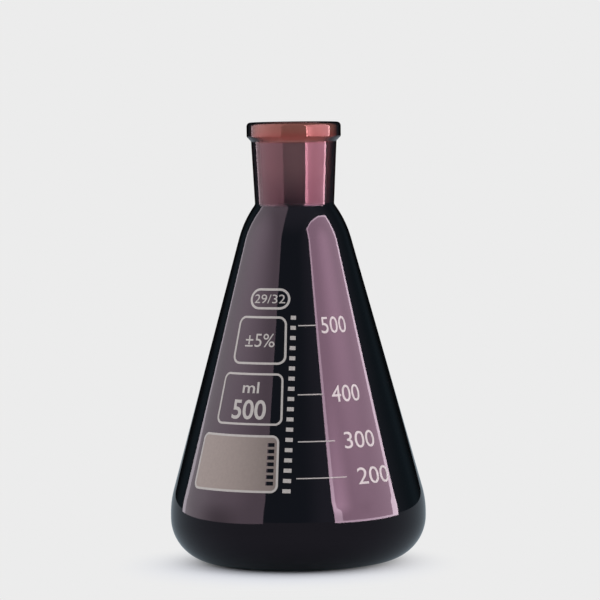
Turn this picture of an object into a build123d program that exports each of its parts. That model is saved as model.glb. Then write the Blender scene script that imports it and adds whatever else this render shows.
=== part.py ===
from build123d import *
import os
from math import cos, radians, sin, tan

# Conical (Erlenmeyer) flask, 500 ml, with a ground glass socket in its neck.
#
# The whole flask is worked from one piece of glass, so it is one solid: the outline
# of the glass is revolved about Z, and then the space inside is revolved out of it.
# Millimetres, +Z up, with the origin in the middle of the face the flask stands on.

# Overall size
flask_height = 180.0
body_diameter = 105.0

# Base
foot_width = 3.5               # flat ring of glass that touches the bench
push_up = 1.6                  # how far the middle of the base stands off the bench
floor_thickness = 2.8

# Body, outside: heel, waist, cone and shoulder, from the bench upwards
heel_round = 18.0
waist_round = 38.0
cone_angle = 15.3              # degrees between the cone's side and the vertical
cone_foot_height = 24.6        # where the cone's line would meet the widest diameter
cone_top_height = 132.0
shoulder_round = 45.0
shoulder_turn = 20.5           # degrees that the shoulder turns in from the cone
wall = 2.0

# Neck and rim, outside
joint_taper = 0.05             # radius gained for each mm of height: 1:10 on the diameter
neck_root_round = 1.5
rim_diameter = 38.6
rim_height = 5.8               # upright side of the rim, with its rounds
rim_slope_height = 1.9         # sloping underside, from the neck out to the rim
rim_top_round = 1.6
rim_side_round = 1.2
rim_root_round = 0.8

# Ground socket, size 29/32
socket_diameter = 29.2         # at its wide end
socket_length = 32.0
lip_round = 1.0                # fire-polished edge of the mouth
throat_round = 2.5             # where the socket opens into the body

# Worked out from the sizes above
slope = radians(cone_angle)
body_radius = body_diameter / 2
inner_radius = body_radius - wall
heel_centre = body_radius - heel_round
foot_inner_radius = heel_centre - foot_width
waist_height = cone_foot_height - waist_round * tan(slope / 2)
cone_top_radius = body_radius - (cone_top_height - cone_foot_height) * tan(slope)

rim_radius = rim_diameter / 2
rim_side_height = flask_height - rim_height
neck_top_height = rim_side_height - rim_slope_height

inner_heel_round = heel_round - floor_thickness
inner_heel_centre = inner_radius - inner_heel_round
inner_cone_top = (cone_top_radius - wall * cos(slope), cone_top_height - wall * sin(slope))
mouth_radius = socket_diameter / 2 + lip_round * joint_taper
socket_end = (
    socket_diameter / 2 - socket_length * joint_taper,
    flask_height - lip_round - socket_length,
)

with BuildPart() as flask:
    # The glass, as if the flask were solid
    with BuildSketch(Plane.XZ) as outside:
        with BuildLine():
            base = TangentArc((0, push_up), (foot_inner_radius, 0), tangent=(1, 0))
            foot = Line(base @ 1, (heel_centre, 0))
            heel = JernArc(foot @ 1, (1, 0), heel_round, 90)
            widest = Line(heel @ 1, (body_radius, waist_height))
            waist = JernArc(widest @ 1, (0, 1), waist_round, cone_angle)
            cone = Line(waist @ 1, (cone_top_radius, cone_top_height))
            shoulder = JernArc(cone @ 1, cone % 1, shoulder_round, shoulder_turn)
            neck_root = shoulder @ 1
            neck_top_radius = neck_root.X + (neck_top_height - neck_root.Y) * joint_taper
            rim = FilletPolyline(
                neck_root,
                (neck_top_radius, neck_top_height),
                (rim_radius, rim_side_height),
                (rim_radius, flask_height),
                (0, flask_height),
                radius=[rim_root_round, rim_side_round, rim_top_round],
            )
            Line(rim @ 1, base @ 0)
        make_face()
        fillet(outside.vertices().sort_by_distance(neck_root)[0], neck_root_round)
    revolve(axis=Axis.Z)

    # The space inside: floor, wall, shoulder, then the tapered socket up to the mouth
    with BuildSketch(Plane.XZ) as inside:
        with BuildLine():
            floor = TangentArc(
                (0, floor_thickness + push_up), (inner_heel_centre, floor_thickness), tangent=(1, 0)
            )
            inner_heel = JernArc(floor @ 1, (1, 0), inner_heel_round, 90)
            inner_widest = Line(inner_heel @ 1, (inner_radius, waist_height))
            inner_waist = JernArc(inner_widest @ 1, (0, 1), waist_round - wall, cone_angle)
            inner_cone = Line(inner_waist @ 1, inner_cone_top)
            inner_shoulder = JernArc(
                inner_cone @ 1, inner_cone % 1, shoulder_round - wall, shoulder_turn
            )
            throat = FilletPolyline(
                inner_shoulder @ 1, socket_end, (mouth_radius, flask_height), radius=throat_round
            )
            mouth = Line(throat @ 1, (0, flask_height))
            Line(mouth @ 1, floor @ 0)
        make_face()
    revolve(axis=Axis.Z, mode=Mode.SUBTRACT)

    # Fire-polished lip: the smaller of the two circles at the top
    top_circles = flask.edges().filter_by(GeomType.CIRCLE).group_by(Axis.Z)[-1]
    fillet(top_circles.sort_by(SortBy.RADIUS)[0], lip_round)

flask.part.label = "flask"

os.makedirs("parts", exist_ok=True)
export_step(flask.part, "parts/flask.step")
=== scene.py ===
from math import atan2, ceil, cos, degrees, pi, radians, sin, tan

import bmesh
import bpy
from bpy.props import FloatProperty, FloatVectorProperty, IntProperty, PointerProperty
from mathutils import Matrix, Vector


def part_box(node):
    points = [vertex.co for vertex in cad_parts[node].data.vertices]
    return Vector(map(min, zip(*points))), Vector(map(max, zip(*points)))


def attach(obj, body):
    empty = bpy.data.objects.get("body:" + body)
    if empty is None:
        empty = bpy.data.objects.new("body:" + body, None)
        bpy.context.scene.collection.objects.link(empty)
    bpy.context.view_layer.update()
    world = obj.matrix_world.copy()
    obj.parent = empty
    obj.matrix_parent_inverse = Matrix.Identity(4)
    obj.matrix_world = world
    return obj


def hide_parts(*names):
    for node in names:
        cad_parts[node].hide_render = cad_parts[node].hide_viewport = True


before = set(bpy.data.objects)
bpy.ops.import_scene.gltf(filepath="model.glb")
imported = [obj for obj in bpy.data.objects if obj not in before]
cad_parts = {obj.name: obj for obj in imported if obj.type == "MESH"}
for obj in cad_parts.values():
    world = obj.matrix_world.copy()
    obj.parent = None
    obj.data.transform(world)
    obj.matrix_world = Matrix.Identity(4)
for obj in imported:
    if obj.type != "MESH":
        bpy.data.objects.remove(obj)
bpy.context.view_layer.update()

bl_info = {
    "name": "Stained Erlenmeyer Flask",
    "version": (1, 0, 0),
    "blender": (4, 5, 0),
    "location": "3D View > Sidebar > Flask",
    "description": "Dresses a conical flask of dark stained glass with its print and lights it",
    "category": "Object",
}

MM = 0.001
NODE = "flask"
BODY = "root"
FOOT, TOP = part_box(NODE)


def length(name, description, default):
    return FloatProperty(name=name, description=description, default=default, unit="LENGTH")


def angle(name, description, default):
    """default is in degrees."""
    return FloatProperty(
        name=name, description=description, default=radians(default), unit="ROTATION"
    )


def colour(name, description, default):
    """default is a linear colour."""
    return FloatVectorProperty(
        name=name,
        description=description,
        default=default,
        size=3,
        min=0.0,
        max=1.0,
        subtype="COLOR",
    )


def factor(name, description, default):
    return FloatProperty(name=name, description=description, default=default, min=0.0)


def srgb(*levels):
    """Linear colour of three 0 to 255 screen levels."""
    return tuple(
        level / 255 / 12.92 if level / 255 <= 0.04045 else ((level / 255 + 0.055) / 1.055) ** 2.4
        for level in levels
    )


# Settings


class FlaskSizes(bpy.types.PropertyGroup):
    """The glass, with the same sizes as the solid that it stands for."""

    flask_height: length("Flask height", "From the bench to the top of the rim", TOP.z)
    body_diameter: length("Body diameter", "Widest part of the body", TOP.x - FOOT.x)
    wall: length("Wall", "Thickness of the glass in the body", 2.0 * MM)
    foot_width: length("Foot width", "Flat ring that touches the bench", 3.5 * MM)
    push_up: length("Push-up", "Height of the middle of the base over the bench", 1.6 * MM)
    floor_thickness: length("Floor thickness", "Glass between the base and the inside", 2.8 * MM)
    heel_round: length("Heel round", "Radius from the foot up to the widest part", 18.0 * MM)
    waist_round: length("Waist round", "Radius from the widest part into the cone", 38.0 * MM)
    cone_angle: angle("Cone angle", "Between the cone's side and the vertical", 15.3)
    cone_foot_height: length(
        "Cone foot height", "Where the cone's line meets the widest diameter", 24.6 * MM
    )
    cone_top_height: length("Cone top height", "Where the shoulder starts", 132.0 * MM)
    shoulder_round: length("Shoulder round", "Radius of the shoulder", 45.0 * MM)
    shoulder_turn: angle("Shoulder turn", "How far the shoulder turns in from the cone", 20.5)
    neck_root_round: length("Neck root round", "Between shoulder and neck", 1.5 * MM)
    joint_taper: factor("Joint taper", "Radius gained for each unit of height", 0.05)
    rim_diameter: length("Rim diameter", "Outside diameter of the rim", 38.6 * MM)
    rim_height: length("Rim height", "Upright side of the rim with its rounds", 5.8 * MM)
    rim_slope_height: length("Rim slope height", "Sloping underside of the rim", 1.9 * MM)
    rim_top_round: length("Rim top round", "Outer edge of the rim's top", 1.6 * MM)
    rim_side_round: length("Rim side round", "Lower edge of the rim's side", 1.2 * MM)
    rim_root_round: length("Rim root round", "Between the neck and the rim", 0.8 * MM)
    socket_diameter: length("Socket diameter", "Wide end of the ground socket", 29.2 * MM)
    socket_length: length("Socket length", "Length of the ground face", 32.0 * MM)
    lip_round: length("Lip round", "Fire-polished edge of the mouth", 1.0 * MM)
    throat_round: length("Throat round", "Where the socket opens into the body", 2.5 * MM)
    segments: IntProperty(
        name="Segments", description="Divisions round the axis", default=256, min=24
    )
    longest_stretch: length("Longest stretch", "Longest division along the section", 8.0 * MM)


class GlassFinish(bpy.types.PropertyGroup):
    """Colours and gloss of the stained glass."""

    body_stain: colour("Body stain", "Nearly opaque stain of the body", (0.004, 0.004, 0.006))
    body_tint: colour("Body tint", "Tint of what the body reflects", (1.0, 0.78, 0.92))
    neck_root_stain: colour("Neck root stain", "Stain just over the shoulder", (0.36, 0.44, 0.48))
    neck_stain: colour("Neck stain", "Thinner stain of the neck", (0.72, 0.84, 0.84))
    neck_tint: colour("Neck tint", "Tint of what the neck reflects", (1.0, 0.46, 0.56))
    rim_stain: colour("Rim stain", "Warm stain of the rim", (0.98, 0.82, 0.72))
    # Near black where the glass is seen edge on: a little of it is the longer path through the stain,
    # the rest is painted shade along the edges
    edge_stain: colour("Edge stain", "Stain where the glass is seen edge on", (0.012, 0.006, 0.008))
    rim_glow: colour("Rim glow", "Light that the thick rim scatters", (0.23, 0.085, 0.065))
    root_glow: colour("Rim root glow", "The same at the foot of the rim", (0.26, 0.035, 0.03))
    rim_tint: colour("Rim tint", "Tint of what the rim reflects", (1.0, 0.42, 0.34))
    rim_share: factor("Rim share", "How much of the rim's look is its own glow", 0.65)
    through_colour: colour("Through colour", "What the glass lets through", (0.60, 0.38, 0.40))
    through_density: factor("Through density", "Absorption in the glass, for each metre", 600.0)
    frost: colour("Frost", "Colour of the ground face", (0.75, 0.68, 0.68))
    frost_share: factor("Frost share", "How much the ground face scatters light back", 0.25)
    refraction: factor("Refraction", "Index of refraction of the body", 1.47)
    neck_refraction: factor("Neck refraction", "Index of refraction of the clear neck", 1.55)
    rim_refraction: factor("Rim refraction", "Index of refraction of the rim's skin", 1.70)
    polish: factor("Polish", "Roughness of the fire-polished glass", 0.03)
    ground: factor("Ground", "Roughness of the ground socket", 0.45)
    ripple: length("Ripple", "Height of the waves in the blown surface", 0.02 * MM)


class PrintFinish(bpy.types.PropertyGroup):
    """The fired print on the outside of the cone."""

    enamel: colour("Enamel", "Colour of the volume numbers", (0.48, 0.44, 0.43))
    thin_enamel: colour("Thin enamel", "The same where it is thin", (0.33, 0.305, 0.29))
    field: colour("Field", "Matt field for marking, where it is thick", (0.215, 0.170, 0.150))
    # Painted shade: the field runs from its own tone on the left to this darker tone on the right, as
    # if lit from the left
    thin_field: colour("Thin field", "The same field where it is thin", (0.13, 0.10, 0.088))
    thickness: length("Thickness", "How far the print stands out of the glass", 0.07 * MM)
    lean: angle("Lean", "How far the print leans counter-clockwise", 0.1)
    division: length("Division", "Longest flat stretch across the cone", 0.8 * MM)


class StudioSettings(bpy.types.PropertyGroup):
    """Ground, lights and camera."""

    pale: colour("Pale ground", "Ground and background", srgb(236, 236, 236))
    camera_distance: length("Camera distance", "From the flask's axis", 1.5)
    camera_height: length("Camera height", "Over the ground", 0.207)
    focal_length: FloatProperty(name="Focal length", description="In mm", default=219.7)
    camera_roll: angle("Camera roll", "How far the picture leans", -0.71)
    flask_column: FloatProperty(
        name="Flask column", description="Pixel column of the flask's middle", default=296.25
    )
    flask_row: FloatProperty(
        name="Flask row", description="Pixel row of the flask's middle", default=341.35
    )
    right_power: factor("Right softbox", "Radiance of the right softbox", 6.0)
    left_power: factor("Left softbox", "Radiance of the left softbox", 2.2)
    right_lamp: factor("Right lamp", "Power of the right lamp, in watts", 1.2)
    left_lamp: factor("Left lamp", "Power of the left lamp, in watts", 2.0)
    fill: colour("Fill", "Even light from all sides", (0.97, 0.98, 1.0))
    room_front: colour("Room in front", "What the glass reflects from the front", (0.17, 0.25, 0.30))
    room_lit: colour("Lit room", "The same high up and by the right softbox", (0.32, 0.40, 0.47))
    room_back: colour("Room behind", "What the glass reflects from behind", (0.05, 0.08, 0.10))
    room_end: colour("Room's end", "The darkest part, straight behind", (0.006, 0.007, 0.008))
    ground_shine: colour("Ground in glass", "The ground as the glass reflects it", (0.30, 0.36, 0.405))


def settings():
    return bpy.context.scene


# Node trees


class Wire:
    """A socket in a node tree. Arithmetic on it adds Math nodes to its tree."""

    def __init__(self, graph, socket):
        self.graph = graph
        self.socket = socket

    def math(self, operation, *values):
        return self.graph.math(operation, self, *values)

    def __add__(self, other):
        return self.math("ADD", other)

    def __radd__(self, other):
        return self.graph.math("ADD", other, self)

    def __sub__(self, other):
        return self.math("SUBTRACT", other)

    def __rsub__(self, other):
        return self.graph.math("SUBTRACT", other, self)

    def __mul__(self, other):
        return self.math("MULTIPLY", other)

    def __rmul__(self, other):
        return self.graph.math("MULTIPLY", other, self)

    def __truediv__(self, other):
        return self.math("DIVIDE", other)

    def __gt__(self, other):
        return self.math("GREATER_THAN", other)

    def __lt__(self, other):
        return self.math("LESS_THAN", other)


class Graph:
    """Adds nodes to one shader or geometry tree."""

    def __init__(self, tree):
        self.tree = tree

    def node(self, kind, settings=None, sockets=None):
        """One node: its type, then its settings, then the values or links of its inputs."""
        node = self.tree.nodes.new(kind)
        for name, value in (settings or {}).items():
            if name == "stops":
                self.set_stops(node.color_ramp, value)
            else:
                setattr(node, name, value)
        for name, value in (sockets or {}).items():
            if isinstance(value, Wire):
                self.tree.links.new(value.socket, node.inputs[name])
            else:
                node.inputs[name].default_value = value
        return node

    def wire(self, kind, settings=None, sockets=None, output=0):
        """One output of a new node."""
        return Wire(self, self.node(kind, settings, sockets).outputs[output])

    def math(self, operation, *values):
        return self.wire("ShaderNodeMath", {"operation": operation}, dict(enumerate(values)))

    def set_stops(self, ramp, stops):
        """stops: list of (place, linear colour)."""
        while len(ramp.elements) < len(stops):
            ramp.elements.new(1.0)
        for element, (place, tone) in zip(ramp.elements, stops):
            element.position = place
            element.color = (*tone, 1.0)

    def split(self, vector):
        """The three parts of a vector."""
        node = self.node("ShaderNodeSeparateXYZ", sockets={0: vector})
        return [Wire(self, output) for output in node.outputs]

    def join(self, x, y, z):
        return self.wire("ShaderNodeCombineXYZ", sockets={"X": x, "Y": y, "Z": z})

    def blend(self, share, first, second):
        """Mix of two colours."""
        return self.wire(
            "ShaderNodeMix",
            {"data_type": "RGBA"},
            {0: share, 6: rgba(first), 7: rgba(second)},
            output=2,
        )

    def ramp(self, value, low, high):
        """0 below low, 1 above high, smooth between."""
        return self.wire(
            "ShaderNodeMapRange",
            {"interpolation_type": "SMOOTHSTEP"},
            {"Value": value, "From Min": low, "From Max": high},
        )


def rgba(tone):
    return tone if isinstance(tone, Wire) else (*tone, 1.0)


def geometry_graph(name, sizes, counts):
    """A geometry tree with one named input for each size and count, and wires from its inputs."""
    tree = bpy.data.node_groups.new(name, "GeometryNodeTree")
    tree.interface.new_socket("Geometry", in_out="INPUT", socket_type="NodeSocketGeometry")
    tree.interface.new_socket("Geometry", in_out="OUTPUT", socket_type="NodeSocketGeometry")
    for size in sizes:
        tree.interface.new_socket(size, in_out="INPUT", socket_type="NodeSocketFloat")
    for count in counts:
        tree.interface.new_socket(count, in_out="INPUT", socket_type="NodeSocketInt")
    graph = Graph(tree)
    group = graph.node("NodeGroupInput")
    return graph, {output.name: Wire(graph, output) for output in group.outputs if output.name}


def finish_graph(graph, geometry):
    graph.node("NodeGroupOutput", sockets={"Geometry": geometry})


def grow(name, source, tree, values):
    """The plain mesh object that a geometry tree makes from a source mesh."""
    seed = bpy.data.objects.new(name + "_seed", source)
    bpy.context.scene.collection.objects.link(seed)
    modifier = seed.modifiers.new(name, "NODES")
    modifier.node_group = tree
    for item in tree.interface.items_tree:
        if item.in_out == "INPUT" and item.name in values:
            modifier[item.identifier] = values[item.name]
    graph = bpy.context.evaluated_depsgraph_get()
    mesh = bpy.data.meshes.new_from_object(seed.evaluated_get(graph), depsgraph=graph)
    seed.modifiers.remove(modifier)
    bpy.data.objects.remove(seed)
    mesh.name = name
    piece = bpy.data.objects.new(name, mesh)
    bpy.context.scene.collection.objects.link(piece)
    return piece


# Materials

# Parts of Layer Weight's Facing, 0 seen straight on and 1 seen edge on, between which a look changes
# The stain darkens towards the edges: partly the longer path through the stain, mostly painted shade
EDGE_STAIN_AND_SHADE_RANGE = (0.34, 0.60)
# The rim's glow fades towards its edges: painted shade
RIM_GLOW_EDGE_SHADE_RANGE = (0.36, 0.66)

STAIN_BLEND = 1.0 * MM
NECK_FADE = 16 * MM
ROOT_GLOW_FADE = 6 * MM
SOCKET_MARGIN = 1.0 * MM
WAVE_SCALE = 45.0
WAVE_STRETCH = (1.0, 1.0, 0.35)
PRINT_ROUGHNESS = 0.45
SPECKLE_SCALE = 900.0
SPECKLE_LOW = 0.88
SPECKLE_SPAN = 0.24
# Span in x over which the marking field turns to its darker tone: painted shade, lighter on the left
# where the light comes from
FIELD_SHADE_SPAN = (-42 * MM, -4 * MM)


def new_material(name):
    material = bpy.data.materials.new(name)
    material.use_nodes = True
    material.node_tree.nodes.clear()
    return material, Graph(material.node_tree)


def close_material(graph, shader):
    graph.node("ShaderNodeOutputMaterial", sockets={"Surface": shader})


def stained_glass(size, finish):
    """One glass for the whole flask: stained by height, ground inside the socket."""
    material, graph = new_material("stained_glass")
    place = graph.wire("ShaderNodeTexCoord", output=3)
    x, y, height = graph.split(place)
    radius = (x * x + y * y).math("SQRT")

    root = neck_root(size).y
    rim_low = size.flask_height - size.rim_height - size.rim_slope_height
    in_neck = graph.ramp(height, root - STAIN_BLEND, root + STAIN_BLEND)
    in_rim = graph.ramp(height, rim_low - STAIN_BLEND, rim_low + STAIN_BLEND)
    edge_on = graph.wire("ShaderNodeLayerWeight", sockets={"Blend": 0.5}, output=1)
    thin = graph.blend(
        graph.ramp(height, root, root + NECK_FADE), finish.neck_root_stain, finish.neck_stain
    )
    # Where the glass is seen edge on the stain turns near black: partly stain, mostly painted shade
    stain = graph.blend(
        graph.ramp(edge_on, *EDGE_STAIN_AND_SHADE_RANGE),
        graph.blend(in_rim, thin, finish.rim_stain),
        finish.edge_stain,
    )

    socket_top = size.flask_height - size.lip_round
    socket_radius = size.socket_diameter / 2 + SOCKET_MARGIN
    ground = (
        (radius < socket_radius)
        * (height > socket_top - size.socket_length)
        * (height < socket_top)
    )
    waves = graph.wire(
        "ShaderNodeTexNoise",
        sockets={
            "Vector": graph.wire(
                "ShaderNodeMapping", sockets={"Vector": place, "Scale": WAVE_STRETCH}
            ),
            "Scale": WAVE_SCALE,
            "Detail": 1.0,
        },
    )
    ripple = graph.wire(
        "ShaderNodeBump", sockets={"Height": waves, "Distance": finish.ripple, "Strength": 1.0}
    )

    def glass(stain, tint, refraction, through):
        return graph.wire(
            "ShaderNodeBsdfPrincipled",
            sockets={
                "Base Color": rgba(stain),
                "Roughness": finish.polish + ground * (finish.ground - finish.polish),
                "IOR": refraction,
                "Specular Tint": rgba(tint),
                "Transmission Weight": through,
                "Normal": ripple,
            },
        )

    body = glass(finish.body_stain, finish.body_tint, finish.refraction, 1.0)
    neck = glass(stain, finish.neck_tint, finish.neck_refraction, 1.0)
    glow = graph.blend(
        graph.ramp(height, rim_low, rim_low + ROOT_GLOW_FADE), finish.root_glow, finish.rim_glow
    )
    rim = glass(glow, finish.rim_tint, finish.rim_refraction, 0.0)
    frost = graph.wire("ShaderNodeBsdfDiffuse", sockets={"Color": rgba(finish.frost)})

    def mix(share, first, second):
        return graph.wire("ShaderNodeMixShader", sockets={0: share, 1: first, 2: second})

    # The rim's glow is kept off the socket and fades where the rim is seen edge on: painted shade
    # along the rim's edges
    outside = (radius > socket_radius) * (1.0 - graph.ramp(edge_on, *RIM_GLOW_EDGE_SHADE_RANGE))
    clear = mix(ground * finish.frost_share, neck, frost)
    surface = mix(in_neck, body, mix(in_rim * outside * finish.rim_share, clear, rim))
    inside = graph.wire(
        "ShaderNodeVolumeAbsorption",
        sockets={"Color": rgba(finish.through_colour), "Density": finish.through_density},
    )
    graph.node("ShaderNodeOutputMaterial", sockets={"Surface": surface, "Volume": inside})
    return material


def enamel(name, tone, shaded_tone=None):
    """Fired print: slightly matt and speckled. With a second tone it darkens to the right: painted
    shade, as if lit from the left.
    """
    material, graph = new_material(name)
    place = graph.wire("ShaderNodeTexCoord", output=3)
    speckle = graph.wire(
        "ShaderNodeTexNoise", sockets={"Vector": place, "Scale": SPECKLE_SCALE, "Detail": 3.0}
    )
    if shaded_tone:
        # Painted shade: the field darkens to the right
        painted_shade = graph.ramp(graph.split(place)[0], *FIELD_SHADE_SPAN)
        tone = graph.blend(painted_shade, tone, shaded_tone)
    strength = SPECKLE_LOW + SPECKLE_SPAN * speckle
    speckled = graph.wire(
        "ShaderNodeVectorMath", {"operation": "SCALE"}, {0: tone, "Scale": strength}
    )
    print_shader = graph.wire(
        "ShaderNodeBsdfPrincipled",
        sockets={"Base Color": speckled, "Roughness": PRINT_ROUGHNESS},
    )
    close_material(graph, print_shader)
    return material


# The glass

ROUND_STEP_DEGREES = 5
ROUND_STEP = 2 * MM
SEAM_WELD = 0.002 * MM


def dome_corner(radius, rise):
    """Where the tangents of a shallow dome meet, and the dome's radius."""
    reach = (radius**2 + rise**2) / (2 * radius)
    return reach, (radius**2 + rise**2) / (2 * rise)


def neck_root(size):
    """(radius, height) of the corner between shoulder and neck."""
    slope = size.cone_angle
    lean = slope + size.shoulder_turn
    top_radius = size.body_diameter / 2 - (
        size.cone_top_height - size.cone_foot_height
    ) * tan(slope)
    reach = size.shoulder_round * tan(size.shoulder_turn / 2)
    return Vector(
        (
            top_radius - reach * (sin(slope) + sin(lean)),
            size.cone_top_height + reach * (cos(slope) + cos(lean)),
        )
    )


def glass_corners(size):
    """The section of the glass: (radius, height, rounding) of each corner.

    It runs from the axis up the inside, over the rim and down the outside back to the axis.
    """
    slope = size.cone_angle
    lean = slope + size.shoulder_turn
    body_radius = size.body_diameter / 2
    heel_centre = body_radius - size.heel_round
    foot_inner = heel_centre - size.foot_width
    cone_top_radius = body_radius - (size.cone_top_height - size.cone_foot_height) * tan(slope)
    half_turn = tan(size.shoulder_turn / 2)

    reach = size.shoulder_round * half_turn
    shoulder = (cone_top_radius - reach * sin(slope), size.cone_top_height + reach * cos(slope))
    root = neck_root(size)
    rim_radius = size.rim_diameter / 2
    rim_foot = size.flask_height - size.rim_height
    neck_top = rim_foot - size.rim_slope_height
    neck_top_radius = root.x + (neck_top - root.y) * size.joint_taper
    root_reach = size.neck_root_round * tan((lean + size.joint_taper) / 2)
    dome, dome_round = dome_corner(foot_inner, size.push_up)

    inner_radius = body_radius - size.wall
    inner_heel = size.heel_round - size.floor_thickness
    inner_dome, inner_dome_round = dome_corner(inner_radius - inner_heel, size.push_up)
    inner_reach = (size.shoulder_round - size.wall) * half_turn
    inner_start = (
        cone_top_radius - size.wall * cos(slope),
        size.cone_top_height - size.wall * sin(slope),
    )
    inner_shoulder = (
        inner_start[0] - inner_reach * sin(slope),
        inner_start[1] + inner_reach * cos(slope),
    )
    inner_waist_height = size.cone_foot_height - size.waist_round * tan(slope / 2)
    inner_waist = inner_waist_height + (size.waist_round - size.wall) * tan(slope / 2)
    socket_end = size.flask_height - size.lip_round - size.socket_length
    socket_radius = size.socket_diameter / 2
    throat_radius = socket_radius - size.socket_length * size.joint_taper
    mouth_radius = socket_radius + size.lip_round * size.joint_taper

    inside = [
        (0.0, size.floor_thickness + size.push_up, 0.0),
        (inner_dome, size.floor_thickness + size.push_up, inner_dome_round),
        (inner_radius - inner_heel, size.floor_thickness, 0.0),
        (inner_radius, size.floor_thickness, inner_heel),
        (inner_radius, inner_waist, size.waist_round - size.wall),
        (*inner_shoulder, size.shoulder_round - size.wall),
        (throat_radius, socket_end, size.throat_round),
        (mouth_radius, size.flask_height, size.lip_round),
    ]
    outside = [
        (rim_radius, size.flask_height, size.rim_top_round),
        (rim_radius, rim_foot, size.rim_side_round),
        (neck_top_radius, neck_top, size.rim_root_round),
        (*root, size.neck_root_round),
        (*shoulder, (reach - root_reach) / half_turn),
        (body_radius, size.cone_foot_height, size.waist_round),
        (body_radius, 0.0, size.heel_round),
        (foot_inner, 0.0, 0.0),
        (dome, size.push_up, dome_round),
        (0.0, size.push_up, 0.0),
    ]
    return inside + outside


def turn_at(before, corner, after):
    """How far a line turns at a corner, in radians."""
    first = atan2(corner[1] - before[1], corner[0] - before[0])
    second = atan2(after[1] - corner[1], after[0] - corner[0])
    return abs((second - first + pi) % (2 * pi) - pi)


def section_mesh(corners):
    """The section as a mesh line, with the rounding and its number of steps on each corner."""
    mesh = bpy.data.meshes.new("glass_section")
    places = [(radius, 0.0, height) for radius, height, _ in corners]
    mesh.from_pydata(places, [(i, i + 1) for i in range(len(places) - 1)], [])
    rounding = mesh.attributes.new("rounding", "FLOAT", "POINT")
    steps = mesh.attributes.new("steps", "INT", "POINT")
    for i, corner in enumerate(corners):
        rounding.data[i].value = corner[2]
        if 0 < i < len(corners) - 1 and corner[2]:
            turn = turn_at(corners[i - 1], corner, corners[i + 1])
            steps.data[i].value = max(
                ceil(degrees(turn) / ROUND_STEP_DEGREES), ceil(turn * corner[2] / ROUND_STEP)
            )
    return mesh


def revolve_tree(glass):
    """Rounds the section's corners and sweeps it round the axis."""
    graph, given = geometry_graph("blown_glass", ("Longest Stretch", "Hub Radius"), ("Segments",))
    hub = given["Hub Radius"]
    line = graph.wire("GeometryNodeMeshToCurve", sockets={"Mesh": given["Geometry"]})
    rounded = graph.wire(
        "GeometryNodeFilletCurve",
        {"mode": "POLY"},
        {
            "Curve": line,
            "Count": graph.wire(
                "GeometryNodeInputNamedAttribute", {"data_type": "INT"}, {"Name": "steps"}
            ),
            "Radius": graph.wire(
                "GeometryNodeInputNamedAttribute", {"data_type": "FLOAT"}, {"Name": "rounding"}
            ),
            "Limit Radius": True,
        },
    )
    place = graph.wire("GeometryNodeInputPosition")
    following = graph.wire(
        "GeometryNodeFieldAtIndex",
        {"data_type": "FLOAT_VECTOR", "domain": "POINT"},
        {"Value": place, "Index": graph.wire("GeometryNodeInputIndex") + 1},
    )
    stretch = graph.wire(
        "ShaderNodeVectorMath", {"operation": "DISTANCE"}, {0: place, 1: following}, output=1
    )
    divided = graph.wire(
        "GeometryNodeSubdivideCurve",
        sockets={"Curve": rounded, "Cuts": stretch / given["Longest Stretch"]},
    )
    radius, _, height = graph.split(place)
    laid = graph.wire(
        "GeometryNodeSetPosition",
        sockets={"Geometry": divided, "Position": graph.join(radius - hub, 0.0 - height, 0.0)},
    )
    hoop = graph.wire(
        "GeometryNodeCurvePrimitiveCircle",
        sockets={"Resolution": given["Segments"], "Radius": hub},
    )
    swept = graph.wire("GeometryNodeCurveToMesh", sockets={"Curve": hoop, "Profile Curve": laid})
    closed = graph.wire(
        "GeometryNodeMergeByDistance", sockets={"Geometry": swept, "Distance": SEAM_WELD}
    )
    smooth = graph.wire("GeometryNodeSetShadeSmooth", sockets={"Geometry": closed})
    real = graph.wire("GeometryNodeRealizeInstances", sockets={"Geometry": smooth})
    finish_graph(
        graph,
        graph.wire("GeometryNodeSetMaterial", sockets={"Geometry": real, "Material": glass}),
    )
    return graph.tree


class FLASK_OT_blow_glass(bpy.types.Operator):
    """Makes the flask from its section and gives it its stained glass"""

    bl_idname = "flask.blow_glass"
    bl_label = "Blow the glass"

    def execute(self, context):
        size = settings().flask_sizes
        tree = revolve_tree(stained_glass(size, settings().glass_finish))
        values = {
            "Segments": size.segments,
            "Longest Stretch": size.longest_stretch,
            "Hub Radius": size.body_diameter / 2,
        }
        flask = grow("blown_flask", section_mesh(glass_corners(size)), tree, values)
        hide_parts(NODE)
        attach(flask, BODY)
        return {"FINISHED"}


# The print

WELD = 1e-7
SLIVER = 2e-6


def rounded_box(width, height, rounding, steps=10):
    """Outline of a box with round corners, centred, counter-clockwise."""
    points = []
    for quarter in range(4):
        middle = Vector((width / 2 - rounding, height / 2 - rounding))
        middle.x *= 1 if quarter in (0, 3) else -1
        middle.y *= 1 if quarter in (0, 1) else -1
        for step in range(steps + 1):
            turn = (quarter + step / steps) * pi / 2
            points.append(middle + rounding * Vector((cos(turn), sin(turn))))
    return points


def ring(width, height, rounding, stroke):
    """The two outlines of a line drawn round a box. The sizes are those of its outer edge."""
    return [
        rounded_box(width, height, rounding),
        rounded_box(width - 2 * stroke, height - 2 * stroke, max(rounding - stroke, stroke / 2)),
    ]


def bar(width, height, x=0.0, y=0.0):
    """Outline of a plain bar."""
    return [
        Vector((x + side * width / 2, y + rise * height / 2))
        for side, rise in ((-1, -1), (1, -1), (1, 1), (-1, 1))
    ]


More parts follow.
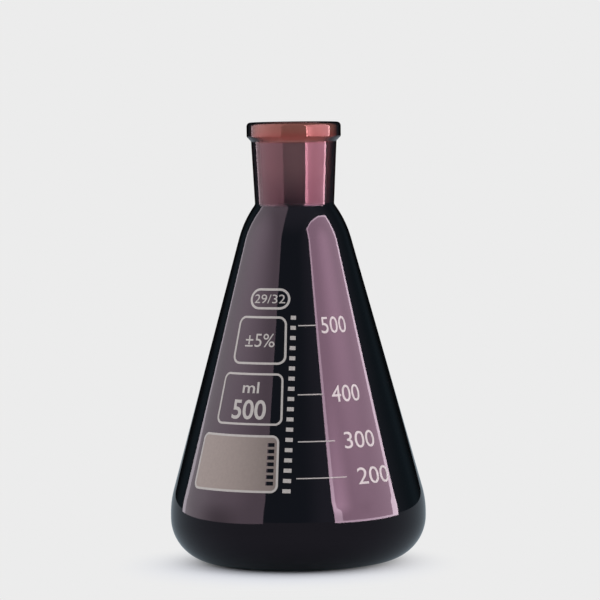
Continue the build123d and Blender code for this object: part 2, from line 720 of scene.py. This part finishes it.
def flat_mesh(name, outlines, thickness):
    """A flat plate with the given outlines, where one inside another is a hole."""
    curve = bpy.data.curves.new(name, "CURVE")
    curve.dimensions = "2D"
    curve.fill_mode = "BOTH"
    curve.extrude = thickness / 2
    for outline in outlines:
        spline = curve.splines.new("POLY")
        spline.points.add(len(outline) - 1)
        for point, place in zip(spline.points, outline):
            point.co = (place.x, place.y, 0.0, 1.0)
        spline.use_cyclic_u = True
    return curve_mesh(name, curve)


def text_mesh(name, words, width, height, thickness, weight=0.0):
    """Numbers or a unit as a flat plate of the given size, centred."""
    curve = bpy.data.curves.new(name, "FONT")
    curve.body = words
    curve.size = height
    curve.offset = weight
    mesh = curve_mesh(name, curve)
    low, high = mesh_box(mesh)
    middle = (low + high) / 2
    stretch = Matrix.Diagonal((width / (high.x - low.x), height / (high.y - low.y), 1.0, 1.0))
    mesh.transform(stretch @ Matrix.Translation(-middle))
    thicken(mesh, thickness)
    return mesh


def curve_mesh(name, curve):
    carrier = bpy.data.objects.new(name, curve)
    bpy.context.scene.collection.objects.link(carrier)
    graph = bpy.context.evaluated_depsgraph_get()
    mesh = bpy.data.meshes.new_from_object(carrier.evaluated_get(graph), depsgraph=graph)
    bpy.data.objects.remove(carrier)
    bpy.data.curves.remove(curve)
    return mesh


def mesh_box(mesh):
    low = Vector([min(v.co[axis] for v in mesh.vertices) for axis in range(3)])
    high = Vector([max(v.co[axis] for v in mesh.vertices) for axis in range(3)])
    return low, high


def thicken(mesh, thickness):
    """Gives a flat mesh a thickness, half to each side."""
    plate = bmesh.new()
    plate.from_mesh(mesh)
    bmesh.ops.remove_doubles(plate, verts=plate.verts, dist=WELD)
    top = bmesh.ops.extrude_face_region(plate, geom=plate.faces[:])["geom"]
    bmesh.ops.translate(
        plate,
        verts=[v for v in top if isinstance(v, bmesh.types.BMVert)],
        vec=(0, 0, thickness / 2),
    )
    low = [v for v in plate.verts if v.co.z < thickness / 4]
    bmesh.ops.translate(plate, verts=low, vec=(0, 0, -thickness / 2))
    bmesh.ops.recalc_face_normals(plate, faces=plate.faces)
    plate.to_mesh(mesh)
    plate.free()


def slice_mesh(mesh, step):
    """Cuts a plate into upright strips, so that it can follow the cone."""
    plate = bmesh.new()
    plate.from_mesh(mesh)
    bmesh.ops.remove_doubles(plate, verts=plate.verts, dist=WELD)
    low, high = mesh_box(mesh)
    cuts = int((high.x - low.x) / step)
    for cut in range(1, cuts):
        bmesh.ops.bisect_plane(
            plate,
            geom=plate.verts[:] + plate.edges[:] + plate.faces[:],
            dist=WELD,
            plane_co=(low.x + (high.x - low.x) * cut / cuts, 0, 0),
            plane_no=(1, 0, 0),
        )
    bmesh.ops.dissolve_degenerate(plate, dist=SLIVER, edges=plate.edges)
    bmesh.ops.recalc_face_normals(plate, faces=plate.faces)
    plate.to_mesh(mesh)
    plate.free()


WRAP_SIZES = (
    "Cone Foot Radius",
    "Cone Foot Height",
    "Cone Angle",
    "Azimuth",
    "Height",
    "Lean",
    "Lift",
    "Pitch",
)


def wrap_tree(name, material):
    """Repeats a flat print up a column and lays it on the cone."""
    graph, given = geometry_graph(name, WRAP_SIZES, ("Count",))
    pitch = given["Pitch"]
    column = graph.wire(
        "GeometryNodeMeshLine",
        sockets={
            "Count": given["Count"],
            "Start Location": graph.join(0.0, (given["Count"] - 1) * pitch * -0.5, 0.0),
            "Offset": graph.join(0.0, pitch, 0.0),
        },
    )
    repeated = graph.wire(
        "GeometryNodeInstanceOnPoints", sockets={"Points": column, "Instance": given["Geometry"]}
    )
    flat = graph.wire("GeometryNodeRealizeInstances", sockets={"Geometry": repeated})

    x, y, rise = graph.split(graph.wire("GeometryNodeInputPosition"))
    lean, slope = given["Lean"], given["Cone Angle"]
    across = x * lean.math("COSINE") - y * lean.math("SINE")
    up = x * lean.math("SINE") + y * lean.math("COSINE")
    steep = slope.math("TANGENT")

    def cone_radius(height):
        return given["Cone Foot Radius"] - (height - given["Cone Foot Height"]) * steep

    height = given["Height"] + up * slope.math("COSINE")
    azimuth = given["Azimuth"] + across / cone_radius(given["Height"])
    lift = rise + given["Lift"]
    reach = cone_radius(height) + lift * slope.math("COSINE")
    wrapped = graph.wire(
        "GeometryNodeSetPosition",
        sockets={
            "Geometry": flat,
            "Position": graph.join(
                reach * azimuth.math("SINE"),
                -1.0 * reach * azimuth.math("COSINE"),
                height + lift * slope.math("SINE"),
            ),
        },
    )
    faceted = graph.wire(
        "GeometryNodeSetShadeSmooth", sockets={"Geometry": wrapped, "Shade Smooth": False}
    )
    real = graph.wire("GeometryNodeRealizeInstances", sockets={"Geometry": faceted})
    finish_graph(
        graph,
        graph.wire("GeometryNodeSetMaterial", sockets={"Geometry": real, "Material": material}),
    )
    return graph.tree


def print_on_cone(name, mesh, material, azimuth, height, count=1, pitch=0.0, lean=None):
    """Wraps a flat print round the cone at an azimuth in degrees and a height in mm.

    With a count it is repeated up a column, pitch metres apart.
    """
    size = settings().flask_sizes
    finish = settings().print_finish
    slice_mesh(mesh, finish.division)
    tree = wrap_tree(name + "_wrap", material)
    values = {
        "Cone Foot Radius": size.body_diameter / 2,
        "Cone Foot Height": size.cone_foot_height,
        "Cone Angle": size.cone_angle,
        "Azimuth": radians(azimuth),
        "Height": height * MM,
        "Lean": finish.lean if lean is None else lean,
        "Lift": finish.thickness / 4,
        "Pitch": pitch,
        "Count": count,
    }
    piece = grow(name, mesh, tree, values)
    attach(piece, BODY)
    return piece


def cone_width(azimuths, height):
    """Length on the cone, in metres, between two azimuths in degrees at a height in mm."""
    size = settings().flask_sizes
    radius = size.body_diameter / 2 - (height * MM - size.cone_foot_height) * tan(size.cone_angle)
    return radians(azimuths[1] - azimuths[0]) * radius


def cone_rise(heights):
    """Length up the cone's side, in metres, between two heights in mm."""
    return (heights[1] - heights[0]) * MM / cos(settings().flask_sizes.cone_angle)


# Each volume in ml: height of its line, azimuths of the line, azimuths of its number
GRADUATIONS = {
    500: (98.8, (1.5, 14.3), (18.2, 38.2)),
    400: (71.6, (0.5, 15.1), (20.6, 39.1)),
    300: (53.2, (0.2, 19.6), (24.8, 43.4)),
    200: (38.9, (-0.8, 23.7), (29.5, 48.4)),
}
LINE_STROKE = 0.45 * MM
NUMBER_HEIGHT = 6.8 * MM

# Printed boxes: azimuths in degrees and heights in mm of their outer edges. Without a rounding
# their ends are half circles.
CAPACITY_BOX = {
    "azimuths": (-49.5, -8.0),
    "heights": (59.5, 80.0),
    "rounding": 3.0 * MM,
    "stroke": 0.85 * MM,
}
JOINT_OVAL = {"azimuths": (-38.1, -4.2), "heights": (105.2, 113.6), "stroke": 0.95 * MM}
BADGE = {
    "azimuths": (-45.3, -6.5),
    "heights": (83.4, 102.5),
    "rounding": 3.5 * MM,
    "stroke": 0.9 * MM,
}
MARKING_FIELD = {
    "azimuths": (-57.3, -9.4),
    "heights": (33.2, 55.7),
    "rounding": 3.0 * MM,
    "stroke": 0.9 * MM,
}

# Printed words: width, height, weight added to the strokes, then azimuth in degrees and height in
# mm of their middle
UNIT = ("ml", 7.4 * MM, 4.6 * MM, 0.05 * MM, -28.25, 74.3)
CAPACITY = ("500", 15.3 * MM, 8.0 * MM, 0.12 * MM, -28.25, 65.6)
JOINT_SIZE = ("29/32", 13.2 * MM, 3.6 * MM, 0.0, -21.15, 109.4)
TOLERANCE = ("±5%", 13.0 * MM, 5.5 * MM, 0.0, -25.9, 92.95)

# Bars knocked out of the marking field, one above the other at its right edge
FIELD_BARS = 7
FIELD_BAR_SIZE = (3.0 * MM, 1.6 * MM)
FIELD_BAR_PITCH = 2.6 * MM
FIELD_BAR_INSET = 3.4 * MM

# The column of ticks: azimuth and lean in degrees, height in mm, pitch measured upright
TICK_COUNT = 18
TICK_SIZE = (2.7 * MM, 1.6 * MM)
TICK_PITCH = 4.0 * MM
TICKS_AZIMUTH = -3.6
TICKS_HEIGHT = 68.0
TICKS_LEAN = -2.0


def middle_of(box):
    """Azimuth in degrees and height in mm of the middle of a printed box."""
    return sum(box["azimuths"]) / 2, sum(box["heights"]) / 2


def box_ring(box):
    """The two outlines of a printed box, laid flat."""
    rise = cone_rise(box["heights"])
    width = cone_width(box["azimuths"], middle_of(box)[1])
    return ring(width, rise, box.get("rounding", rise / 2), box["stroke"])


def print_box(name, box):
    mesh = flat_mesh(name + "_flat", box_ring(box), settings().print_finish.thickness)
    print_on_cone(name, mesh, bpy.data.materials["thin_enamel"], *middle_of(box))


def print_words(name, words, width, height, weight, azimuth, middle):
    thickness = settings().print_finish.thickness
    mesh = text_mesh(name + "_flat", words, width, height, thickness, weight)
    print_on_cone(name, mesh, bpy.data.materials["thin_enamel"], azimuth, middle)


class FLASK_OT_print_graduation(bpy.types.Operator):
    """Prints the volume lines and their numbers"""

    bl_idname = "flask.print_graduation"
    bl_label = "Print the graduation"

    def execute(self, context):
        thickness = settings().print_finish.thickness
        numbers = enamel("enamel", settings().print_finish.enamel)
        lines = enamel("thin_enamel", settings().print_finish.thin_enamel)
        for volume, (height, line, number) in GRADUATIONS.items():
            mesh = flat_mesh("line", [bar(cone_width(line, height), LINE_STROKE)], thickness)
            print_on_cone(f"line_{volume}_ml", mesh, lines, sum(line) / 2, height)
            width = cone_width(number, height)
            mesh = text_mesh("number", str(volume), width, NUMBER_HEIGHT, thickness)
            print_on_cone(f"number_{volume}_ml", mesh, numbers, sum(number) / 2, height)
        return {"FINISHED"}


class FLASK_OT_print_capacity(bpy.types.Operator):
    """Prints the capacity in its box"""

    bl_idname = "flask.print_capacity"
    bl_label = "Print the capacity"

    def execute(self, context):
        print_box("capacity_box", CAPACITY_BOX)
        print_words("capacity_unit", *UNIT)
        print_words("capacity_number", *CAPACITY)
        return {"FINISHED"}


class FLASK_OT_print_joint_size(bpy.types.Operator):
    """Prints the size of the ground socket in an oval"""

    bl_idname = "flask.print_joint_size"
    bl_label = "Print the joint size"

    def execute(self, context):
        print_box("joint_oval", JOINT_OVAL)
        print_words("joint_size", *JOINT_SIZE)
        return {"FINISHED"}


class FLASK_OT_print_badge(bpy.types.Operator):
    """Prints the outline over the capacity box, with the tolerance of the marks"""

    bl_idname = "flask.print_badge"
    bl_label = "Print the badge outline"

    def execute(self, context):
        print_box("badge", BADGE)
        print_words("tolerance", *TOLERANCE)
        return {"FINISHED"}


class FLASK_OT_print_marking_field(bpy.types.Operator):
    """Prints the matt field that takes pencil, with its border"""

    bl_idname = "flask.print_marking_field"
    bl_label = "Print the marking field"

    def execute(self, context):
        finish = settings().print_finish
        outline = box_ring(MARKING_FIELD)
        bars_middle = max(point.x for point in outline[0]) - FIELD_BAR_INSET
        bars = [
            bar(*FIELD_BAR_SIZE, bars_middle, (step - (FIELD_BARS - 1) / 2) * FIELD_BAR_PITCH)
            for step in range(FIELD_BARS)
        ]
        mesh = flat_mesh("marking_field_flat", [outline[1]] + bars, finish.thickness / 2)
        tone = enamel("matt_field", finish.field, finish.thin_field)
        print_on_cone("marking_field", mesh, tone, *middle_of(MARKING_FIELD))
        print_box("marking_border", MARKING_FIELD)
        return {"FINISHED"}


class FLASK_OT_print_side_scale(bpy.types.Operator):
    """Prints the column of short ticks between the boxes and the volume lines"""

    bl_idname = "flask.print_side_scale"
    bl_label = "Print the side scale"

    def execute(self, context):
        print_on_cone(
            "side_scale",
            flat_mesh("tick", [bar(*TICK_SIZE)], settings().print_finish.thickness),
            bpy.data.materials["thin_enamel"],
            TICKS_AZIMUTH,
            TICKS_HEIGHT,
            count=TICK_COUNT,
            pitch=TICK_PITCH / cos(settings().flask_sizes.cone_angle),
            lean=radians(TICKS_LEAN),
        )
        return {"FINISHED"}


# The stage

IMAGE_SIZE = 600
SENSOR_WIDTH = 36.0

# Parts of the direction in which the glass looks into the room, between which its tone changes
LIT_SIDE = (0.05, 0.45)
LIT_TOP = (0.50, 0.85)
FRONT_TO_BACK = (-0.3, 0.6)
BACK_TO_END = (0.66, 0.92)

# Lamps: azimuth in degrees, distance and height
LEFT_LAMP = (-70, 1.0, 0.7)
RIGHT_LAMP = (60, 1.0, 0.8)
LAMP_SIDE = 0.7


def place_camera(studio, middle_height):
    """Puts the flask's middle at its place in the photograph's frame of 600 by 600 pixels."""
    eye = Vector((0.0, -studio.camera_distance, studio.camera_height))
    forward = (Vector((0.0, 0.0, middle_height)) - eye).normalized()
    right = Vector((1.0, 0.0, 0.0))
    up = right.cross(forward)
    roll = studio.camera_roll
    off_x = IMAGE_SIZE / 2 - studio.flask_column
    off_y = IMAGE_SIZE / 2 - studio.flask_row
    scale = IMAGE_SIZE * studio.focal_length / SENSOR_WIDTH
    across = (cos(roll) * off_x + sin(roll) * off_y) / scale
    down = (-sin(roll) * off_x + cos(roll) * off_y) / scale
    aim = (forward + right * across - up * down).normalized()
    top = (up * cos(roll) - right * sin(roll)).normalized()
    top = (top - aim * aim.dot(top)).normalized()
    side = aim.cross(top)
    camera = bpy.data.objects.new("camera", bpy.data.cameras.new("camera"))
    camera.data.lens = studio.focal_length
    camera.matrix_world = Matrix.Translation(eye) @ Matrix((side, top, -aim)).transposed().to_4x4()
    bpy.context.scene.collection.objects.link(camera)
    bpy.context.scene.camera = camera
    return camera


def sky(studio):
    """The pale ground behind the object, and a dark room for its reflections."""
    world = bpy.data.worlds.new("studio")
    world.use_nodes = True
    world.node_tree.nodes.clear()
    graph = Graph(world.node_tree)
    path = graph.node("ShaderNodeLightPath")
    seen = Wire(graph, path.outputs["Is Camera Ray"])
    through = Wire(graph, path.outputs["Is Transmission Ray"])
    glossy = Wire(graph, path.outputs["Is Glossy Ray"])
    direction = graph.wire("ShaderNodeTexCoord", output=0)
    side, front, up = graph.split(direction)
    lit = graph.ramp(side, *LIT_SIDE).math("MAXIMUM", graph.ramp(up, *LIT_TOP))
    room = graph.blend(lit, studio.room_front, studio.room_lit)
    room = graph.blend(graph.ramp(front, *FRONT_TO_BACK), room, studio.room_back)
    room = graph.blend(graph.ramp(front, *BACK_TO_END), room, studio.room_end)
    unseen = graph.blend(glossy, studio.fill, room)
    tone = graph.blend(seen.math("MAXIMUM", through), unseen, studio.pale)
    background = graph.wire("ShaderNodeBackground", sockets={"Color": tone, "Strength": 1.0})
    graph.node("ShaderNodeOutputWorld", sockets={"Surface": background})
    bpy.context.scene.world = world


GROUND_RADIUS = 1.3
# The ground's pale tone near the flask, made bluish so that the shadow there comes out bluish: a
# painted tint of the shadow
GROUND_TONE_AND_SHADOW_TINT = (0.78, 0.80, 0.86)
SHADOW_CENTRE = (-0.005, -0.018, 0.0)
SHADOW_NEAR = 0.02
SHADOW_FAR = 0.075


def ground(studio):
    """Pale ground that keeps the shadow, and fades into the background away from the flask."""
    mesh = bpy.data.meshes.new("ground")
    disc = bmesh.new()
    bmesh.ops.create_circle(disc, cap_ends=True, radius=GROUND_RADIUS, segments=96)
    disc.to_mesh(mesh)
    disc.free()
    plane = bpy.data.objects.new("ground", mesh)
    bpy.context.scene.collection.objects.link(plane)
    material, graph = new_material("pale_ground")
    path = graph.node("ShaderNodeLightPath")
    through = Wire(graph, path.outputs["Is Transmission Ray"])
    glossy = Wire(graph, path.outputs["Is Glossy Ray"]) * (1.0 - through)
    place = graph.wire("ShaderNodeTexCoord", output=3)
    away = graph.wire(
        "ShaderNodeVectorMath", {"operation": "DISTANCE"}, {0: place, 1: SHADOW_CENTRE}, output=1
    )
    near = graph.wire(
        "ShaderNodeBsdfDiffuse",
        sockets={"Color": graph.blend(glossy, GROUND_TONE_AND_SHADOW_TINT, studio.ground_shine)},
    )
    far = graph.wire(
        "ShaderNodeEmission",
        sockets={"Color": graph.blend(glossy, studio.pale, studio.ground_shine), "Strength": 1.0},
    )
    fade = graph.ramp(away, SHADOW_NEAR, SHADOW_FAR)
    close_material(
        graph, graph.wire("ShaderNodeMixShader", sockets={0: fade, 1: near, 2: far})
    )
    mesh.materials.append(material)


def polar(azimuth, distance, height):
    """A point by its azimuth in degrees, from -Y towards +X, its distance and its height."""
    turn = radians(azimuth)
    return Vector((distance * sin(turn), -distance * cos(turn), height))


# Softboxes. near and far are the ends of the foot: (azimuth, distance). The outline is a list of
# (share of the way to the far end, height), counter-clockwise from the near end, with the width
# and the extra brightness of the border along the edge that starts there. A hot spot is (share of
# the way, height, reach, extra brightness). Below SKIRT_HEIGHT, where the neck alone reflects a
# softbox, the upright borders are wider.
RIGHT_SOFTBOX = {
    "near": (31.0, 0.485),
    "far": (97.0, 0.52),
    "outline": (
        (0.0, 0.002, 0.012, 1.1),
        (1.0, 0.002, 0.040, 1.3),
        (1.0, 0.545, 0.020, 1.1),
        (0.60, 0.576, 0.020, 1.1),
        (0.20, 0.580, 0.020, 1.1),
        (-0.05, 0.535, 0.028, 0.8),
    ),
    "hot_spots": (
        (0.45, 0.30, 0.18, 0.32),
        (0.10, 0.16, 0.12, 0.55),
        (0.45, 0.10, 0.07, -0.05),
    ),
    "base": 0.88,
    "tone": (1.0, 0.76, 0.90),
    "border_tone": (1.0, 0.90, 0.97),
}
LEFT_SOFTBOX = {
    "near": (-30.0, 0.48),
    "far": (-123.5, 0.51),
    "outline": (
        (0.0, 0.002, 0.0, 0.0),
        (1.0, 0.002, 0.035, 0.9),
        (1.0, 1.15, 0.0, 0.0),
        (-0.015, 1.15, 0.0, 0.0),
    ),
    "hot_spots": ((0.50, 0.27, 0.30, 0.60), (0.45, 0.02, 0.16, -0.30)),
    "base": 0.82,
    "tone": (0.97, 0.92, 0.98),
    "border_tone": (0.97, 0.94, 1.0),
}
SKIRT_HEIGHT = 0.100
SKIRT_BORDER = 0.035
SKIRT_FADE = 45 * MM
BORDER_FADE = 4 * MM


def upright(start, end):
    """Whether an edge of a softbox runs up more than along."""
    return abs(end.z - start.z) > (end - start).length / 2


def softbox(name, box, power):
    """A panel with hot spots and bright borders that is seen in the glass alone."""
    near, far = polar(*box["near"], 0.0), polar(*box["far"], 0.0)

    def at(share, height):
        place = near.lerp(far, share)
        place.z = height
        return place

    corners = [at(share, height) for share, height, _, _ in box["outline"]]
    mesh = bpy.data.meshes.new(name)
    mesh.from_pydata(corners, [], [tuple(range(len(corners)))])
    panel = bpy.data.objects.new(name, mesh)
    bpy.context.scene.collection.objects.link(panel)

    material, graph = new_material(name + "_light")
    place = graph.wire("ShaderNodeTexCoord", output=3)
    glow = box["base"]
    for share, height, reach, extra in box["hot_spots"]:
        away = graph.wire(
            "ShaderNodeVectorMath",
            {"operation": "DISTANCE"},
            {0: place, 1: at(share, height)},
            output=1,
        )
        glow = glow + extra * (1.0 - graph.ramp(away, 0.0, reach))

    outward = (corners[1] - corners[0]).cross(corners[-1] - corners[0]).normalized()
    skirt = 1.0 - graph.ramp(graph.split(place)[2], SKIRT_HEIGHT, SKIRT_HEIGHT + SKIRT_FADE)
    border_light = 0.0
    for start, end, edge in zip(corners, corners[1:] + corners[:1], box["outline"]):
        width, extra = edge[2:]
        if not width:
            continue
        inward = outward.cross(end - start).normalized()
        inset = graph.wire(
            "ShaderNodeVectorMath", {"operation": "DOT_PRODUCT"}, {0: place, 1: inward}, output=1
        ) - start.dot(inward)
        border = width + SKIRT_BORDER * skirt if upright(start, end) else width
        light = extra * (1.0 - graph.ramp(inset - border, 0.0, BORDER_FADE))
        border_light = light.math("MAXIMUM", border_light)
    tone = graph.blend(border_light.math("MINIMUM", 1.0), box["tone"], box["border_tone"])
    light = graph.wire(
        "ShaderNodeEmission",
        sockets={"Color": tone, "Strength": glow * (1.0 + border_light) * power},
    )
    close_material(graph, light)
    mesh.materials.append(material)
    panel.visible_camera = False
    panel.visible_diffuse = False
    panel.visible_shadow = False


def lamp(name, place, aim, side, power):
    """A soft lamp that lights the matt surfaces and isn't seen in the glass."""
    light = bpy.data.lights.new(name, "AREA")
    light.shape = "SQUARE"
    light.size = side
    light.energy = power
    carrier = bpy.data.objects.new(name, light)
    carrier.matrix_world = (
        Matrix.Translation(place) @ (aim - place).to_track_quat("-Z", "Y").to_matrix().to_4x4()
    )
    carrier.visible_glossy = False
    carrier.visible_transmission = False
    carrier.visible_camera = False
    bpy.context.scene.collection.objects.link(carrier)


class FLASK_OT_set_stage(bpy.types.Operator):
    """Sets the ground, the background, the softboxes, the lamps and the camera"""

    bl_idname = "flask.set_stage"
    bl_label = "Set the stage"

    def execute(self, context):
        studio = settings().studio
        bpy.context.scene.view_settings.view_transform = "Standard"
        sky(studio)
        ground(studio)
        softbox("right_softbox", RIGHT_SOFTBOX, studio.right_power)
        softbox("left_softbox", LEFT_SOFTBOX, studio.left_power)
        middle = Vector((0.0, 0.0, settings().flask_sizes.flask_height / 2))
        lamp("left_lamp", polar(*LEFT_LAMP), middle, LAMP_SIDE, studio.left_lamp)
        lamp("right_lamp", polar(*RIGHT_LAMP), middle, LAMP_SIDE, studio.right_lamp)
        place_camera(studio, middle.z)
        return {"FINISHED"}


# The add-on


class FLASK_PT_panel(bpy.types.Panel):
    """Steps and settings of the flask"""

    bl_idname = "FLASK_PT_panel"
    bl_label = "Erlenmeyer flask"
    bl_space_type = "VIEW_3D"
    bl_region_type = "UI"
    bl_category = "Flask"

    def draw(self, context):
        for operator in OPERATORS:
            self.layout.operator(operator.bl_idname)
        for group in GROUPS:
            box = self.layout.box()
            for name in GROUPS[group].__annotations__:
                box.prop(getattr(context.scene, group), name)


GROUPS = {
    "flask_sizes": FlaskSizes,
    "glass_finish": GlassFinish,
    "print_finish": PrintFinish,
    "studio": StudioSettings,
}
OPERATORS = [
    FLASK_OT_set_stage,
    FLASK_OT_blow_glass,
    FLASK_OT_print_graduation,
    FLASK_OT_print_capacity,
    FLASK_OT_print_joint_size,
    FLASK_OT_print_badge,
    FLASK_OT_print_marking_field,
    FLASK_OT_print_side_scale,
]


def register():
    for group in GROUPS.values():
        bpy.utils.register_class(group)
    for name, group in GROUPS.items():
        setattr(bpy.types.Scene, name, PointerProperty(type=group))
    for kind in [*OPERATORS, FLASK_PT_panel]:
        bpy.utils.register_class(kind)


def unregister():
    for kind in [FLASK_PT_panel, *reversed(OPERATORS)]:
        bpy.utils.unregister_class(kind)
    for name in GROUPS:
        delattr(bpy.types.Scene, name)
    for group in reversed(GROUPS.values()):
        bpy.utils.unregister_class(group)


def main():
    register()
    for operator in OPERATORS:
        group, name = operator.bl_idname.split(".")
        getattr(getattr(bpy.ops, group), name)()


if __name__ == "__main__":
    main()
